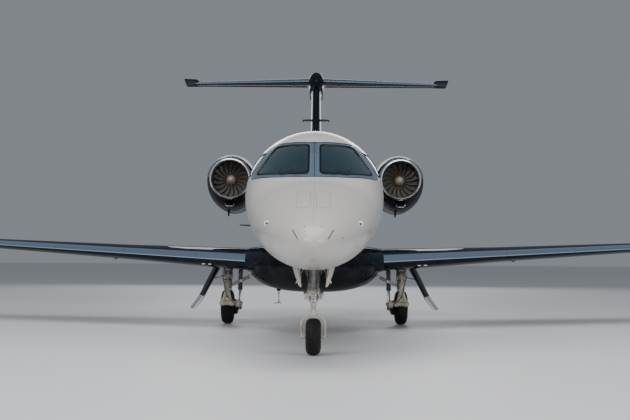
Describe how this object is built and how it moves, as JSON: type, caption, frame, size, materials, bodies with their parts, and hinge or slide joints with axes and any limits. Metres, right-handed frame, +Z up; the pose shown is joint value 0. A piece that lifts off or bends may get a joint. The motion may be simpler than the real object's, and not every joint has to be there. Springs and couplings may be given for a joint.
{
  "type": "business jet",
  "caption": "Light twin-engined business jet with a T-tail, low swept wings with winglets, rear-mounted turbofans and tricycle landing gear.",
  "frame": {"origin": "on the ground below the middle of the aircraft's overall box", "axes": "nose towards -Y, the pilot's left towards +X, +Z up"},
  "size_m": [15.8986, 15.64, 5.1],
  "materials": {
    "white_paint": "gloss",
    "dark_paint": "gloss",
    "polished_metal": "polished",
    "glass": "polished",
    "gear_paint": "satin",
    "engine_metal": "satin",
    "tyre": "matte",
    "wheel_metal": "satin",
    "carpet": "matte",
    "leather": "satin",
    "panel": "matte"
  },
  "bodies": {
    "airframe": {"fuselage_nose": "white_paint", "fuselage_cockpit": "white_paint", "fuselage_cabin": "white_paint", "fuselage_tail": "white_paint", "cabin_floor": "carpet", "instrument_panel": "panel", "crew_seats": "leather", "wing_fairing": "dark_paint", "fin": "dark_paint", "stabilizer": "polished_metal", "tail_bullet": "dark_paint", "ventral_fin": "dark_paint", "nose_gear_leg": "gear_paint", "belly_mast": "engine_metal", "windshield_left": "glass", "cockpit_window_left": "glass", "cabin_glazing_left": "glass", "club_seats_left": "leather", "wing_left": "dark_paint", "winglet_left": "dark_paint", "nacelle_left": "dark_paint", "pylon_left": "dark_paint", "engine_core_left": "engine_metal", "nose_gear_door_left": "gear_paint", "main_gear_leg_left": "gear_paint", "trailing_arm_left": "gear_paint", "main_gear_door_left": "dark_paint", "windshield_right": "glass", "cockpit_window_right": "glass", "cabin_glazing_right": "glass", "club_seats_right": "leather", "wing_right": "dark_paint", "winglet_right": "dark_paint", "nacelle_right": "dark_paint", "pylon_right": "dark_paint", "engine_core_right": "engine_metal", "nose_gear_door_right": "gear_paint", "main_gear_leg_right": "gear_paint", "trailing_arm_right": "gear_paint", "main_gear_door_right": "dark_paint"},
    "entry_door": {"entry_door": "white_paint"},
    "baggage_door": {"baggage_door": "white_paint"},
    "nose_steering": {"nose_fork": "gear_paint"},
    "nose_wheel": {"nose_tyre": "tyre", "nose_rim": "wheel_metal"},
    "rudder": {"rudder": "dark_paint"},
    "main_wheel_left": {"main_tyre_left": "tyre", "main_rim_left": "wheel_metal"},
    "fan_left": {"fan_left": "engine_metal"},
    "elevator_left": {"elevator_left": "dark_paint"},
    "aileron_left": {"aileron_left": "dark_paint"},
    "flap_left": {"flap_left": "dark_paint"},
    "main_wheel_right": {"main_tyre_right": "tyre", "main_rim_right": "wheel_metal"},
    "fan_right": {"fan_right": "engine_metal"},
    "elevator_right": {"elevator_right": "dark_paint"},
    "aileron_right": {"aileron_right": "dark_paint"},
    "flap_right": {"flap_right": "dark_paint"}
  },
  "joints": [
    {"name": "entry_door_hinge", "type": "hinge", "parent": "airframe", "child": "entry_door", "pos_m": [0.56089, -4.16, 1.175], "axis": [0.0035, 1, 0], "range_deg": [0, 128]},
    {"name": "baggage_door_hinge", "type": "hinge", "parent": "airframe", "child": "baggage_door", "pos_m": [0.70203, 2.28, 1.43], "axis": [-0.1408, 0.99, 0], "range_deg": [0, 100]},
    {"name": "nose_steering_pivot", "type": "hinge", "parent": "airframe", "child": "nose_steering", "pos_m": [0, -5.8, 0.6], "axis": [0, 0, 1], "range_deg": [-90, 90]},
    {"name": "nose_wheel_spin", "type": "hinge", "parent": "nose_steering", "child": "nose_wheel", "pos_m": [0, -5.8, 0.207], "axis": [1, 0, 0], "continuous": true},
    {"name": "main_wheel_spin_left", "type": "hinge", "parent": "airframe", "child": "main_wheel_left", "pos_m": [1.425, 0.29, 0.282], "axis": [1, 0, 0], "continuous": true},
    {"name": "main_wheel_spin_right", "type": "hinge", "parent": "airframe", "child": "main_wheel_right", "pos_m": [-1.425, 0.29, 0.282], "axis": [1, 0, 0], "continuous": true},
    {"name": "fan_spin_left", "type": "hinge", "parent": "airframe", "child": "fan_left", "pos_m": [1.5, 1.74, 2.47], "axis": [0, 1, 0], "continuous": true},
    {"name": "fan_spin_right", "type": "hinge", "parent": "airframe", "child": "fan_right", "pos_m": [-1.5, 1.74, 2.47], "axis": [0, 1, 0], "continuous": true},
    {"name": "rudder_hinge", "type": "hinge", "parent": "airframe", "child": "rudder", "pos_m": [0, 5.69672, 2.672], "axis": [0, 0.4342, 0.9008], "range_deg": [-25, 25]},
    {"name": "elevator_hinge_left", "type": "hinge", "parent": "airframe", "child": "elevator_left", "pos_m": [0.26, 6.66917, 4.9684], "axis": [0.9807, 0.1951, 0.0164], "range_deg": [0, 28]},
    {"name": "elevator_hinge_right", "type": "hinge", "parent": "airframe", "child": "elevator_right", "pos_m": [-0.26, 6.66917, 4.9684], "axis": [0.9807, -0.1951, -0.0164], "range_deg": [0, 28]},
    {"name": "aileron_hinge_left", "type": "hinge", "parent": "airframe", "child": "aileron_left", "pos_m": [4.23, 1.46231, 1.22487], "axis": [0.9496, 0.3088, 0.0536], "range_deg": [-20, 20]},
    {"name": "aileron_hinge_right", "type": "hinge", "parent": "airframe", "child": "aileron_right", "pos_m": [-4.23, 1.46231, 1.22487], "axis": [0.9496, -0.3088, -0.0536], "range_deg": [-20, 20]},
    {"name": "flap_hinge_left", "type": "hinge", "parent": "airframe", "child": "flap_left", "pos_m": [1.29, 0.65747, 1.06075], "axis": [-0.9663, -0.2516, -0.0541], "range_deg": [0, 35]},
    {"name": "flap_hinge_right", "type": "hinge", "parent": "airframe", "child": "flap_right", "pos_m": [-1.29, 0.65747, 1.06075], "axis": [-0.9663, 0.2516, 0.0541], "range_deg": [0, 35]}
  ],
  "couplings": [
    {"joint": "elevator_hinge_right", "follows": "elevator_hinge_left", "ratio": 1},
    {"joint": "aileron_hinge_right", "follows": "aileron_hinge_left", "ratio": -1},
    {"joint": "flap_hinge_right", "follows": "flap_hinge_left", "ratio": 1}
  ]
}
